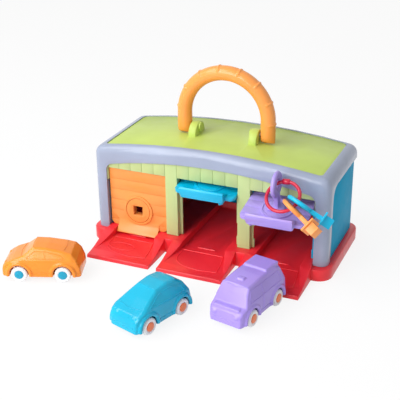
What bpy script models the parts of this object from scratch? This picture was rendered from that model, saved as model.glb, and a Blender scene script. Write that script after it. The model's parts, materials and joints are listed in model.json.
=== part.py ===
"""Toy parking garage: a red tray with three lanes and ramps, teal walls, a green front and an
arched roof held by a grey edge frame, three planked doors that lift on slotted pivots, keyed
latches, a carry handle, and three keys on a ring.

Metres, +Z up. The origin is the middle of the edge frame's footprint, on the surface that the
tray stands on. The doors face -Y.
"""

from math import asin, cos, pi, radians, sin, sqrt

import bmesh
import bpy
from mathutils import Euler, Matrix, Vector

# Fits
GAP = 0.0003
CUT = 0.003
ARC_STEPS = 5
ROUND_STEPS = 20

# Edge frame
FRAME_WIDTH = 0.300
FRAME_DEPTH = 0.126
FRAME_CREST = 0.135
FRAME_WALL = 0.0019
FRAME_EDGE = 0.0085
FRAME_EDGE_STEPS = 4
FRAME_SHOULDER = 0.012
ARCH_RADIUS = 0.916
ARCH_STEPS = 16
POST_WIDTH = 0.0165
POST_DEPTH = 0.016
POST_LIP_WALL = 0.0016
POST_LIP_DEPTH = 0.0059
SIDE_RAIL = 0.0265
RAIL_FILLET = 0.015
FRONT_RAIL = 0.0195
FRONT_ARCH_RADIUS = 0.632
FRONT_ARCH_FILLET = 0.010

# Tray, ramps and lanes
TRAY_SIDE_BORDER = 0.0055
TRAY_FRONT_BORDER = 0.0090
TRAY_BACK_BORDER = 0.0035
TRAY_CORNER = 0.017
TRAY_WALL = 0.0025
TRAY_SKIRT = 0.003
TRAY_EDGE = 0.0012
LIP_HEIGHT = 0.0144
DECK_HEIGHT = 0.0188
DECK_BACK_INSET = 0.0055
DECK_CORNER = 0.005
LANE_HEIGHT = 0.010
KERB_WIDTH = 0.0104
LANE_BACK_INSET = 0.0080
CREST_REACH = 0.0025
LANE_FLARE_SHARE = 0.31
RAMP_SPACE = 0.0107
RAMP_RUN = 0.0483
RAMP_NOSE = 0.0040
CHEEK_STEPS = 7
CHEEK_CURVE_SHARE = 1.7
DETENT_INSET = 0.0175
DETENT_DEPTH = 0.0016
DETENT_HEIGHT = 0.0008
DETENT_BEHIND_CREST = 0.010

# Front panel
MULLION_WIDTH = 0.0155
JAMB_INSET = 0.0013
HEADER_DROP = 0.0385
PANEL_WALL = 0.0022
BAR_DEPTH = 0.0083
BAR_RISE = 0.0155
FLANGE_REACH = 0.0035
FLANGE_WALL = 0.0024
FLANGE_DROP = 0.0170
NOTCH_BELOW_LOCK = 0.0135
NOTCH_ABOVE_LOCK = 0.0040
NOTCH_SILL = 0.0011
KEEPER_WALL = 0.0007
EAR_WIDTH = 0.0078
EAR_DROP = 0.0160
PLANK_GROOVE = 0.0008
PLANK_GROOVE_DEPTH = 0.0005
HEADER_PLANKS = 5

# Walls
WALL = 0.0022
WALL_LAP = 0.0020
WALL_CORNER = 0.0115
BOSS_RADIUS = 0.004
BOSS_HEIGHT = 0.030
BOSS_INSET = 0.0075
BOSS_FRONT_INSET = 0.033
BOSS_BACK_INSET = 0.023

# Screws
SCREW_RADIUS = 0.0015
SCREW_HEAD_RADIUS = 0.0029
SCREW_HEAD_HEIGHT = 0.0020
SCREW_LENGTH = 0.014
SCREW_SOCKET_RADIUS = 0.0007
SCREW_SOCKET_DEPTH = 0.0009

# Roof
ROOF_BORDER_SIDE = 0.0125
ROOF_BORDER_FRONT = 0.0085
ROOF_CORNER = 0.006
ROOF_STEP = 0.0010
ROOF_SKIN = 0.0015
ROOF_LAP = 0.0022
LUG_PLAY = 0.0005
LUG_WALL = 0.010
LUG_DEPTH = 0.030
LUG_ABOVE_PIN = 0.0065
LUG_EDGE = 0.0012

# Carry handle
HOOP_RADIUS = 0.054
HOOP_RISE = 0.0171
PIN_ABOVE_CREST = 0.0075
GRIP_THICK = 0.0190
GRIP_DEPTH = 0.0184
GRIP_ROUND_SHARE = 0.36
RIDGE_COUNT = 8
RIDGE_HEIGHT = 0.0013
RIDGE_SPACING = 25
RIDGE_SPAN = 11
RIDGE_SHARES = [(-1.136, 0), (-0.5, 0), (-0.2, 1), (0.2, 1), (0.5, 0)]
PIN_RADIUS = 0.0025
PIN_HEAD_RADIUS = 0.0038
PIN_HEAD_HEIGHT = 0.0015

# Doors
PIVOT_BELOW_HEADER = 0.0090
DOOR_WALL = 0.0040
DOOR_SIDE_GAP = 0.0006
DOOR_TOP_GAP = 0.0008
DOOR_CORNER = 0.006
DOOR_SKIN = 0.0024
DOOR_RIM = 0.0055
DOOR_PLANKS = 5
TONGUE_SIDE_CLEAR = 0.0010
TONGUE_CORNER = 0.0025
TONGUE_CLEAR = 0.0025
LIP_REACH = 0.0090
LIP_RISE = 0.0160
LIP_NOSE = 0.0016
RING_INNER = 0.0166
RING_OUTER = 0.0195
RING_RISE = 0.0020
SLOT_WIDTH = 0.0016
SLOT_DEPTH = 0.0018
SLOT_TOP = 0.0040
SLOT_FOOT = 0.0115
SHOE_LENGTH = 0.0070
SHOE_CLEAR = 0.0002
PIVOT_RADIUS = 0.0012
SOCKET_RADIUS = 0.0015
SOCKET_DEPTH = 0.0030
PIVOT_END_GAP = 0.0005
DOOR_SWING = 80
SLOT_END_GAP = 0.0006
PURPLE_LOCK_REACH = 0.0200

# Locks
LOCK_ABOVE_FOOT = 0.0310
BARREL_RADIUS = 0.0160
BARREL_RISE = 0.0020
BARREL_SEAT = 0.0011
HUB_RADIUS = 0.0105
BOLT_WALL = 0.0020
BOLT_HUB_RADIUS = 0.0102
BOLT_WIDTH = 0.0050
BOLT_SHORT = 0.0008
BOLT_GAP = 0.0010
BOLT_FLOOR_CLEAR = 0.00477
BOLT_HAND = {"orange": 1, "teal": 1, "purple": -1}
KEY_PLAY = 0.0005

# Keys and ring
KEY_REACH = 0.031
BOW_RADIUS = 0.0155
BOW_HOLE = 0.0055
BOW_WALL = 0.0050
BOW_ROUND = 0.0014
NECK_WIDTH = 0.0090
NECK_RECESS = 0.0008
NECK_RIM = 0.0018
KEY_FLANGE = 0.018
KEY_FLANGE_WALL = 0.0020
KEY_BLOCK = 0.0115
KEY_BLOCK_LENGTH = 0.0105
KEY_CROSS_SHARE = 0.42
KEY_RING_RADIUS = 0.0190
KEY_RING_WIRE = 0.0021
FERRULE_RADIUS = 0.0033
FERRULE_LENGTH = 0.009
# Bunch of keys: the ring's turn on the purple key, then where on the ring each key hangs and how it lies there.
# Spots are degrees round the ring from its ferrule; holds are the ring's place in a bow, from the hole's middle.
RING_TURN = (27.49, -1.97, -5.22)
RING_HOLD = (-0.00056, -0.00035, 0.00056)
RING_SPOTS = {"purple": -36.35, "teal": 108.9, "orange": 136}
KEY_TURNS = {"teal": (114.04, -10.22, -165.58), "orange": (90.09, 5.12, -166.48)}
KEY_HOLDS = {"teal": (0, -0.00264, -0.00064), "orange": (0, -0.00242, -0.00013)}

# Toy cars: length and height follow each body's own outline, in shares of these sizes
CAR_LENGTH = 0.0925
CAR_HEIGHT = 0.0415
CAR_WIDTH = 0.0440
CAR_SILL = 0.0062
CAR_BELT = 0.0280
CAR_WHEELBASE = 0.0510
CAR_WALL = 0.0050
CAR_POCKET_HEIGHT = 0.0200
ARCH_CLEAR = 0.0026
WHEEL_RADIUS = 0.0098
WHEEL_WIDTH = 0.0065
WHEEL_ROUND = 0.0016
WHEEL_DISH = 0.0012
AXLE_RADIUS = 0.0012
SADDLE_LENGTH = 0.0075
SADDLE_WIDTH = 0.0060
PLATE_WALL = 0.0020
CAR_OUTLINE_SHARES = {
    "orange": [(0.50, 0.36), (0.485, 0.47), (0.44, 0.56), (0.365, 0.65), (0.22, 0.77), (0.09, 1.0), (-0.07, 0.985),
               (-0.28, 0.90), (-0.39, 0.83), (-0.45, 0.66), (-0.49, 0.45), (-0.50, 0.34)],
    "teal": [(0.47, 0.36), (0.46, 0.49), (0.42, 0.60), (0.36, 0.67), (0.22, 0.84), (0.06, 1.01), (-0.10, 1.06),
             (-0.25, 1.03), (-0.36, 0.88), (-0.42, 0.66), (-0.455, 0.45), (-0.465, 0.34)],
    "purple": [(0.51, 0.36), (0.505, 0.50), (0.47, 0.58), (0.40, 0.64), (0.34, 0.90), (0.28, 1.09), (0.00, 1.13),
               (-0.30, 1.12), (-0.40, 1.04), (-0.46, 0.72), (-0.49, 0.45), (-0.50, 0.34)],
}
CAR_END_SHARES = [0.78, 0.88, 0.95, 0.99, 1, 1, 1, 1, 0.98, 0.94, 0.88, 0.78]
CAR_ROOF_SHARES = {"orange": 0.70, "teal": 0.66, "purple": 0.78}
CAR_SIDE_SHARES = [(0.97, 0), (1, 0.5), (0.985, 1)]
CAR_CANT_SHARES = (0.99, 0.86)
POCKET_SHARE = 0.40
WHEEL_FACE_SHARES = (0.5, 0.62)
CAR_PLACES = {"orange": (-0.1607, -0.1731, -159.8), "teal": (-0.0008, -0.2133, -107.7),
              "purple": (0.0906, -0.1590, -102)}

# Frame and tray places worked out from the sizes above
POST_INNER = FRAME_WIDTH / 2 - POST_WIDTH
RAIL_LOW = FRAME_CREST - SIDE_RAIL
FRONT_ARCH_CREST = FRAME_CREST - FRONT_RAIL
BAY_PITCH = (2 * (POST_INNER - JAMB_INSET) + MULLION_WIDTH) / 3
BAY_WIDTH = BAY_PITCH - MULLION_WIDTH
BAY_HALF = BAY_WIDTH / 2
BAYS = {"orange": -BAY_PITCH, "teal": 0, "purple": BAY_PITCH}
TRAY_WIDTH = FRAME_WIDTH + 2 * TRAY_SIDE_BORDER
TRAY_FRONT = FRAME_DEPTH / 2 + TRAY_FRONT_BORDER
TRAY_BACK = FRAME_DEPTH / 2 + TRAY_BACK_BORDER
DECK_BACK = FRAME_DEPTH / 2 - DECK_BACK_INSET
LANE_BACK = FRAME_DEPTH / 2 - LANE_BACK_INSET
LANE_WIDTH = BAY_WIDTH - 2 * KERB_WIDTH
LANE_CREST = TRAY_FRONT + CREST_REACH
RAMP_WIDTH = BAY_PITCH - RAMP_SPACE
RAMP_FRONT = TRAY_FRONT + RAMP_RUN
RAMP_SLOPE = (LANE_HEIGHT - RAMP_NOSE) / (RAMP_FRONT - LANE_CREST)
STAND = DECK_HEIGHT + GAP
SHELL_STAND = LIP_HEIGHT + GAP

# Panel, wall and roof places
HEADER_LOW = FRAME_CREST - HEADER_DROP
HEADER_CREST = FRAME_CREST - FRAME_EDGE - GAP
BAR_TOP = HEADER_LOW + BAR_RISE
FLANGE_TOP = HEADER_LOW - FLANGE_DROP
EAR_LOW = HEADER_LOW - EAR_DROP
PANEL_FRONT = -FRAME_DEPTH / 2 + FRAME_WALL + GAP
PANEL_BACK = PANEL_FRONT + PANEL_WALL
BAR_BACK = PANEL_FRONT + BAR_DEPTH
WALL_TOP = RAIL_LOW + WALL_LAP
WALL_HALF = FRAME_WIDTH / 2 - FRAME_WALL - GAP
WALL_BACK = FRAME_DEPTH / 2 - FRAME_WALL - GAP
BOSS_PLACE = WALL_HALF - BOSS_INSET
BOSS_FRONT = FRAME_DEPTH / 2 - BOSS_FRONT_INSET
BOSS_BACK = FRAME_DEPTH / 2 - BOSS_BACK_INSET
LUG_INNER = HOOP_RADIUS - GRIP_THICK / 2 - LUG_PLAY - LUG_WALL
HANDLE_PIVOT = FRAME_CREST + PIN_ABOVE_CREST
HOOP_HEIGHT = HANDLE_PIVOT + HOOP_RISE
LUG_TOP = HANDLE_PIVOT + LUG_ABOVE_PIN

# Door, lock and bolt places
PIVOT_HEIGHT = HEADER_LOW - PIVOT_BELOW_HEADER
PIVOT_DEPTH = PANEL_BACK + GAP + DOOR_WALL / 2
DOOR_HALF = BAY_HALF - DOOR_SIDE_GAP
DOOR_FOOT = LANE_HEIGHT + TONGUE_CLEAR - PIVOT_HEIGHT
TONGUE_WIDTH = LANE_WIDTH - 2 * TONGUE_SIDE_CLEAR
SLOT_LOW = STAND + GAP - PIVOT_HEIGHT + SLOT_FOOT
TEAL_LIFT = -SLOT_LOW - SHOE_LENGTH / 2 - SLOT_END_GAP
LOCK_BELOW_PIVOT = -DOOR_FOOT - LOCK_ABOVE_FOOT
PURPLE_LIFT = LOCK_BELOW_PIVOT - PURPLE_LOCK_REACH
LOCK_HEIGHT = PIVOT_HEIGHT - LOCK_BELOW_PIVOT
NOTCH_LOW = LOCK_HEIGHT - NOTCH_BELOW_LOCK
NOTCH_TOP = LOCK_HEIGHT + NOTCH_ABOVE_LOCK
FLANGE_FRONT = PIVOT_DEPTH + DOOR_WALL / 2 + GAP
FLANGE_BACK = FLANGE_FRONT + FLANGE_WALL
BOLT_REACH = DOOR_HALF - BOLT_SHORT
BOLT_PARK = asin((LOCK_HEIGHT - LANE_HEIGHT - BOLT_FLOOR_CLEAR) / BOLT_REACH)

COLOURS = {
    "red": (0.80, 0.035, 0.05),
    "teal": (0.0, 0.30, 0.45),
    "sky": (0.0, 0.52, 0.80),
    "green": (0.62, 0.75, 0.22),
    "pale_green": (0.66, 0.80, 0.35),
    "grey": (0.46, 0.49, 0.68),
    "orange": (0.93, 0.38, 0.09),
    "purple": (0.46, 0.33, 0.86),
    "cherry": (0.68, 0.03, 0.07),
    "steel": (0.55, 0.55, 0.57),
    "white": (0.86, 0.86, 0.88),
}

DIRECTIONS = {
    "X": (Vector((0, 1, 0)), Vector((0, 0, 1)), Vector((1, 0, 0))),
    "Y": (Vector((1, 0, 0)), Vector((0, 0, 1)), Vector((0, 1, 0))),
    "Z": (Vector((1, 0, 0)), Vector((0, 1, 0)), Vector((0, 0, 1))),
}


def clear_scene():
    for item in list(bpy.data.objects):
        bpy.data.objects.remove(item)


def piece(name, bm):
    """Turn a finished bmesh into an object of the scene."""
    bmesh.ops.recalc_face_normals(bm, faces=bm.faces)
    mesh = bpy.data.meshes.new(name)
    bm.to_mesh(mesh)
    bm.free()
    made = bpy.data.objects.new(name, mesh)
    bpy.context.scene.collection.objects.link(made)
    return made


def arc(across, up, radius, start, end, steps=ARC_STEPS):
    """Points of an arc between two angles in radians, both ends included."""
    angles = [start + (end - start) * i / steps for i in range(steps + 1)]
    return [(across + radius * cos(a), up + radius * sin(a)) for a in angles]


def rounded(left, low, right, top, radii, steps=ARC_STEPS):
    """Rectangle with its own radius in each corner: right top, left top, left low, right low."""
    corners = [(right, top, -1, -1), (left, top, 1, -1), (left, low, 1, 1), (right, low, -1, 1)]
    points = []
    for quarter, ((across, up, inward, down), radius) in enumerate(zip(corners, radii)):
        if radius == 0:
            points.append((across, up))
            continue
        start = quarter * pi / 2
        points += arc(across + inward * radius, up + down * radius, radius, start, start + pi / 2, steps)
    return points


def circle(radius, steps=ROUND_STEPS):
    return arc(0, 0, radius, 0, 2 * pi, steps)[:-1]


def prism(name, outline, axis, low, high, rim=0, rim_steps=2, both=False):
    """Extrude an outline along an axis; rim rounds the edges of its high end, or of both ends."""
    across, up, along = DIRECTIONS[axis]
    bm = bmesh.new()
    start = bm.faces.new([bm.verts.new(across * u + up * v + along * low) for u, v in outline])
    grown = bmesh.ops.extrude_face_region(bm, geom=[start])["geom"]
    verts = [item for item in grown if isinstance(item, bmesh.types.BMVert)]
    bmesh.ops.translate(bm, vec=along * (high - low), verts=verts)
    if rim:
        ends = [item for item in grown if isinstance(item, bmesh.types.BMFace)]
        ends += [start] if both else []
        edges = list({edge for face in ends for edge in face.edges})
        bmesh.ops.bevel(bm, geom=edges, offset=rim, segments=rim_steps, profile=0.5, affect="EDGES")
    return piece(name, bm)


def box(name, low, high, rim=0):
    outline = [(low[0], low[1]), (high[0], low[1]), (high[0], high[1]), (low[0], high[1])]
    return prism(name, outline, "Z", low[2], high[2], rim)


def lathe(name, profile, axis, steps=ROUND_STEPS, closed=False):
    """Spin points of radius and height round an axis. An open profile ends on the axis."""
    across, up, along = DIRECTIONS[axis]
    bm = bmesh.new()
    verts = [bm.verts.new(across * radius + along * height) for radius, height in profile]
    pairs = list(zip(verts, verts[1:])) + ([(verts[-1], verts[0])] if closed else [])
    edges = [bm.edges.new(pair) for pair in pairs]
    bmesh.ops.spin(bm, geom=verts + edges, cent=(0, 0, 0), axis=along, angle=2 * pi, steps=steps)
    bmesh.ops.remove_doubles(bm, verts=bm.verts, dist=GAP / 30)
    return piece(name, bm)


def combine(target, tool, operation="DIFFERENCE"):
    """Cut one object with another, or join them, and drop the tool."""
    modifier = target.modifiers.new(operation.lower(), "BOOLEAN")
    modifier.operation = operation
    modifier.solver = "EXACT"
    modifier.object = tool
    bpy.context.view_layer.update()
    seen = target.evaluated_get(bpy.context.evaluated_depsgraph_get())
    target.data = bpy.data.meshes.new_from_object(seen)
    target.modifiers.clear()
    bpy.data.objects.remove(tool)
    return target


def join(target, *tools):
    for tool in tools:
        combine(target, tool, "UNION")
    return target


def cut(target, *tools):
    for tool in tools:
        combine(target, tool)
    return target


def moved(made, place, turn=None):
    """Shift an object's mesh, after an optional turn, and leave its origin where it is."""
    made.data.transform(Matrix.Translation(place) @ (turn.to_4x4() if turn else Matrix.Identity(4)))
    return made


def finish(made, colour, roughness=0.32, metallic=0.0, smooth_below=35):
    material = bpy.data.materials.get(colour) or bpy.data.materials.new(colour)
    material.use_nodes = True
    shader = material.node_tree.nodes["Principled BSDF"]
    shader.inputs["Base Color"].default_value = (*COLOURS[colour], 1)
    shader.inputs["Roughness"].default_value = roughness
    shader.inputs["Metallic"].default_value = metallic
    made.data.materials.clear()
    made.data.materials.append(material)
    made.data.shade_smooth()
    made.data.set_sharp_from_angle(angle=radians(smooth_below))
    return made


def empty(name, place, parent=None, turn=(0, 0, 0)):
    made = bpy.data.objects.new(name, None)
    bpy.context.scene.collection.objects.link(made)
    made.location = place
    made.rotation_euler = turn
    made.parent = parent
    return made


def attach(made, parent, place=(0, 0, 0), turn=(0, 0, 0)):
    made.parent = parent
    made.location = place
    made.rotation_euler = turn
    return made


def hang(made, parent, held, turn):
    """Attaches a turned piece so that its own point `held` lies at the parent's origin."""
    return attach(made, parent, -(Euler(turn).to_matrix() @ Vector(held)), turn)


def sag(radius, across):
    """How far an arch of this radius has dropped at a distance from its middle."""
    return radius - sqrt(radius ** 2 - across ** 2)


def arch_outline(half, low, crest, radius, corner, steps=ARCH_STEPS):
    """Front view of an arched block: straight sides, rounded shoulders and an arched top."""
    centre = crest - radius
    reach = half - corner
    height = centre + sqrt((radius - corner) ** 2 - reach ** 2)
    lean = asin(reach / (radius - corner))
    shoulder = arc(reach, height, corner, 0, pi / 2 - lean)
    top = arc(0, centre, radius, pi / 2 - lean, pi / 2 + lean, steps)[1:-1]
    other = [(-across, up) for across, up in reversed(shoulder)]
    return [(half, low)] + shoulder + top + other + [(-half, low)]


def arched_block(name, inset):
    """The edge frame's outer form, or with an inset the hollow inside it, its edges rounded."""
    half = FRAME_WIDTH / 2 - inset
    low = SHELL_STAND - (CUT if inset else 0)
    outline = arch_outline(half, low, FRAME_CREST - inset, ARCH_RADIUS - inset, FRAME_SHOULDER - inset)
    bm = bmesh.new()
    reach = FRAME_DEPTH / 2 - inset
    face = bm.faces.new([bm.verts.new((across, -reach, up)) for across, up in outline])
    grown = bmesh.ops.extrude_face_region(bm, geom=[face])["geom"]
    verts = [item for item in grown if isinstance(item, bmesh.types.BMVert)]
    bmesh.ops.translate(bm, vec=(0, 2 * reach, 0), verts=verts)
    bottom = low + GAP / 2
    edges = []
    for edge in bm.edges:
        first, second = (vert.co for vert in edge.verts)
        across_depth = abs(first.y - second.y) > reach
        if not across_depth and max(first.z, second.z) > bottom:
            edges.append(edge)
    bmesh.ops.bevel(bm, geom=edges, offset=FRAME_EDGE - inset, segments=FRAME_EDGE_STEPS,
                    profile=0.5, affect="EDGES", clamp_overlap=False)
    return piece(name, bm)


def edge_frame():
    """Grey shell: two front posts, front and rear arches and side rails round the roof."""
    frame = arched_block("edge_frame", 0)
    cut(frame, arched_block("hollow", FRAME_WALL))
    half_x = FRAME_WIDTH / 2 - ROOF_BORDER_SIDE
    half_y = FRAME_DEPTH / 2 - ROOF_BORDER_FRONT
    opening = rounded(-half_x, -half_y, half_x, half_y, [ROOF_CORNER] * 4)
    cut(frame, prism("roof_opening", opening, "Z", RAIL_LOW, FRAME_CREST + CUT))
    front = arch_outline(POST_INNER, -CUT, FRONT_ARCH_CREST, FRONT_ARCH_RADIUS, FRONT_ARCH_FILLET, 12)
    cut(frame, prism("front_opening", front, "Y", -FRAME_DEPTH, FRAME_DEPTH))
    side_start = -FRAME_DEPTH / 2 + POST_DEPTH
    side = rounded(side_start, -CUT, FRAME_DEPTH, RAIL_LOW, [0, RAIL_FILLET, 0, 0])
    cut(frame, prism("side_opening", side, "X", -FRAME_WIDTH, FRAME_WIDTH))
    front_inside = -FRAME_DEPTH / 2 + FRAME_WALL
    for sign in (-1, 1):
        edges = sorted((sign * POST_INNER, sign * (POST_INNER + POST_LIP_WALL)))
        low = (edges[0], front_inside - FRAME_WALL / 2, SHELL_STAND)
        high = (edges[1], front_inside + POST_LIP_DEPTH, FLANGE_TOP)
        join(frame, box("post_lip", low, high))
    return finish(frame, "grey")


def lane_rise(depth):
    """Height of a ramp's drive surface at a place in front of the crest."""
    return RAMP_NOSE + (depth + RAMP_FRONT) * RAMP_SLOPE


def channel(name, stations, level):
    """Cutter along a lane: stations of depth, half width and floor, closed at one level."""
    bm = bmesh.new()
    rings = []
    for y, half, floor in stations:
        rings.append([bm.verts.new(place) for place in
                      ((-half, y, floor), (half, y, floor), (half, y, level), (-half, y, level))])
    for first, second in zip(rings, rings[1:]):
        for i in range(4):
            j = (i + 1) % 4
            bm.faces.new([first[i], first[j], second[j], second[i]])
    bm.faces.new(rings[0])
    bm.faces.new(rings[-1])
    return piece(name, bm)


def ramp(place):
    """Wedge with curved cheeks that rise from its nose to the deck."""
    run = RAMP_FRONT - TRAY_FRONT
    top = DECK_HEIGHT - GAP
    rise = top - RAMP_NOSE
    curve = [(-RAMP_FRONT + run * i / CHEEK_STEPS, RAMP_NOSE + rise * (i / CHEEK_STEPS) ** CHEEK_CURVE_SHARE)
             for i in range(CHEEK_STEPS + 1)]
    nose = [(-RAMP_FRONT, 0), (-RAMP_FRONT, RAMP_NOSE / 2)]
    curve[0] = (-RAMP_FRONT + RAMP_NOSE / 4, RAMP_NOSE)
    inner = -TRAY_FRONT + TRAY_SKIRT
    profile = nose + curve + [(inner, top), (inner, 0)]
    return prism("ramp", profile, "X", place - RAMP_WIDTH / 2, place + RAMP_WIDTH / 2)


def base_tray():
    """Red floor moulding: lip, deck, three sunk lanes, three ramps, hollow and ribbed below."""
    half = TRAY_WIDTH / 2
    outline = rounded(-half, -TRAY_FRONT, half, TRAY_BACK, [TRAY_CORNER] * 4, 7)
    tray = prism("base_tray", outline, "Z", 0, LIP_HEIGHT, TRAY_EDGE)
    deck_half = POST_INNER - GAP
    deck = rounded(-deck_half, -TRAY_FRONT, deck_half, DECK_BACK, [0, 0, DECK_CORNER, DECK_CORNER])
    join(tray, prism("deck", deck, "Z", LIP_HEIGHT - TRAY_WALL, DECK_HEIGHT, TRAY_EDGE))
    for bay in BAYS.values():
        join(tray, ramp(bay))
    skirt_half = TRAY_WIDTH / 2 - TRAY_SKIRT
    inner_front = -TRAY_FRONT + TRAY_SKIRT
    inner_back = TRAY_BACK - TRAY_SKIRT
    hollow = rounded(-skirt_half, inner_front, skirt_half, inner_back, [TRAY_CORNER - TRAY_SKIRT] * 4)
    below = prism("hollow", hollow, "Z", -CUT, LIP_HEIGHT - TRAY_WALL)
    wall_half = deck_half + TRAY_WALL
    cut(below, box("under_deck", (-wall_half, inner_front - CUT, LANE_HEIGHT - TRAY_WALL),
                   (wall_half, DECK_BACK + TRAY_WALL, LIP_HEIGHT)))
    edges = [-deck_half]
    for bay in BAYS.values():
        edges += [bay - LANE_WIDTH / 2, bay + LANE_WIDTH / 2]
    edges.append(deck_half)
    for left, right in zip(edges[::2], edges[1::2]):
        low = (left + TRAY_WALL, inner_front, -CUT)
        high = (right - TRAY_WALL, DECK_BACK - TRAY_WALL, DECK_HEIGHT - TRAY_WALL)
        join(below, box("kerb_hollow", low, high))
    cut(tray, below)
    rib_top = LANE_HEIGHT - TRAY_WALL / 2
    middle = TRAY_WALL / 2
    join(tray, box("long_rib", (-half + TRAY_SKIRT / 2, -middle, 0), (half - TRAY_SKIRT / 2, middle, rib_top)))
    join(tray, box("cross_rib", (-middle, inner_front - TRAY_SKIRT / 2, 0), (middle, inner_back + TRAY_SKIRT / 2, rib_top)))
    for bay in BAYS.values():
        half = LANE_WIDTH / 2
        front = -RAMP_FRONT - CUT
        flared = half + (RAMP_FRONT + CUT - LANE_CREST) * LANE_FLARE_SHARE
        lane = channel("lane", [(LANE_BACK, half, LANE_HEIGHT), (-LANE_CREST, half, LANE_HEIGHT),
                                (front, flared, lane_rise(front))], DECK_HEIGHT + CUT)
        under_half = RAMP_WIDTH / 2 - TRAY_WALL
        under_back = -TRAY_FRONT - GAP
        under_front = -RAMP_FRONT + 2 * TRAY_SKIRT
        under = channel("under_ramp", [(y, under_half, lane_rise(y) - TRAY_WALL) for y in (under_back, under_front)],
                        -CUT)
        cut(tray, moved(lane, (bay, 0, 0)), moved(under, (bay, 0, 0)))
        detent_y = -LANE_CREST + DETENT_BEHIND_CREST
        ridge = [(detent_y, LANE_HEIGHT - DETENT_HEIGHT), (detent_y + DETENT_DEPTH, LANE_HEIGHT - DETENT_HEIGHT),
                 (detent_y + DETENT_DEPTH * 2 / 3, LANE_HEIGHT + DETENT_HEIGHT),
                 (detent_y + DETENT_DEPTH / 3, LANE_HEIGHT + DETENT_HEIGHT)]
        reach = LANE_WIDTH / 2 - DETENT_INSET
        join(tray, prism("detent", ridge, "X", bay - reach, bay + reach))
    for x, y, top in screw_places():
        boss_top = top - TRAY_WALL / 2
        boss = prism("screw_boss", circle(BOSS_RADIUS, 12), "Z", SCREW_HEAD_HEIGHT * 2, boss_top)
        join(tray, moved(boss, (x, y, 0)))
        hole = prism("screw_hole", circle(SCREW_RADIUS + GAP, 12), "Z", 0, DECK_HEIGHT + CUT)
        cut(tray, moved(hole, (x, y, 0)))
    return finish(tray, "red")


def screw_places():
    """Screw axes and the tray surface that each one clamps."""
    sides = [(sign * BOSS_PLACE, y, LIP_HEIGHT) for sign in (-1, 1) for y in (-BOSS_FRONT, BOSS_BACK)]
    bar_middle = (PANEL_FRONT + BAR_BACK) / 2
    return sides + [(sign * BAY_PITCH / 2, bar_middle, DECK_HEIGHT) for sign in (-1, 1)]


def base_screws():
    """Screws that hold the walls and the front panel down on the tray."""
    for number, (x, y, top) in enumerate(screw_places(), 1):
        head = SCREW_HEAD_HEIGHT
        profile = [(0, SCREW_SOCKET_DEPTH), (SCREW_SOCKET_RADIUS, SCREW_SOCKET_DEPTH), (SCREW_SOCKET_RADIUS, 0),
                   (SCREW_HEAD_RADIUS, 0), (SCREW_HEAD_RADIUS, head), (SCREW_RADIUS, head),
                   (SCREW_RADIUS, head + SCREW_LENGTH - SCREW_RADIUS), (0, head + SCREW_LENGTH)]
        screw = lathe(f"base_screw_{number}", profile, "Z", 8)
        finish(screw, "steel", 0.3, 1.0).location = (x, y, head - GAP)


def notch(sign, edge):
    """Cutters that open a flange for a bolt: clear at its edge, rebated behind a thin keeper."""
    through = sorted((edge - sign * CUT, edge + sign * NOTCH_SILL))
    rebate = sorted((edge, edge + sign * (BOLT_REACH + BOLT_GAP + FLANGE_REACH - BAY_HALF)))
    opening = box("notch", (through[0], FLANGE_FRONT - CUT / 2, NOTCH_LOW),
                  (through[1], FLANGE_BACK + CUT, NOTCH_TOP))
    pocket = box("rebate", (rebate[0], FLANGE_FRONT + KEEPER_WALL, NOTCH_LOW),
                 (rebate[1], FLANGE_BACK + CUT, NOTCH_TOP))
    return [opening, pocket]


def wall_shell():
    """Teal sides and back in one moulding, with front flanges that stop the outer doors."""
    shell_front = -FRAME_DEPTH / 2 + FRAME_EDGE + GAP
    outer = rounded(-WALL_HALF, shell_front, WALL_HALF, WALL_BACK, [WALL_CORNER, WALL_CORNER, 0, 0])
    inner = rounded(-WALL_HALF + WALL, shell_front - CUT, WALL_HALF - WALL, WALL_BACK - WALL,
                    [WALL_CORNER - WALL, WALL_CORNER - WALL, 0, 0])
    shell = prism("wall_shell", outer, "Z", SHELL_STAND, WALL_TOP)
    cut(shell, prism("inside", inner, "Z", 0, WALL_TOP + CUT))
    back = arch_outline(POST_INNER, WALL_TOP - WALL_CORNER, HEADER_CREST, ARCH_RADIUS, WALL_CORNER)
    join(shell, prism("back_arch", back, "Y", WALL_BACK - WALL, WALL_BACK))
    for sign in (-1, 1):
        edge = sign * (BAY_PITCH + BAY_HALF - FLANGE_REACH)
        span = sorted((edge, sign * (WALL_HALF - WALL / 2)))
        flange = box("flange", (span[0], FLANGE_FRONT, SHELL_STAND), (span[1], FLANGE_BACK, FLANGE_TOP))
        join(shell, flange)
        foot = sorted((edge - sign * CUT, sign * (POST_INNER + GAP)))
        cut(shell, box("foot", (foot[0], FLANGE_FRONT - CUT, 0), (foot[1], FLANGE_BACK + CUT, STAND)))
        for y in (-BOSS_FRONT, BOSS_BACK):
            boss = prism("boss", circle(BOSS_RADIUS, 12), "Z", SHELL_STAND, SHELL_STAND + BOSS_HEIGHT)
            web = box("web", (0, -WALL / 2, SHELL_STAND), (BOSS_INSET - WALL / 2, WALL / 2, SHELL_STAND + BOSS_HEIGHT))
            if sign < 0:
                moved(web, (-BOSS_INSET + WALL / 2, 0, 0))
            join(boss, web)
            join(shell, moved(boss, (sign * BOSS_PLACE, y, 0)))
            bore = prism("bore", circle(SCREW_RADIUS + GAP, 12), "Z", 0, SHELL_STAND + BOSS_HEIGHT - WALL)
            cut(shell, moved(bore, (sign * BOSS_PLACE, y, 0)))
    cut(shell, *notch(1, BAY_PITCH + BAY_HALF - FLANGE_REACH))
    return finish(shell, "teal", 0.38)


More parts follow.
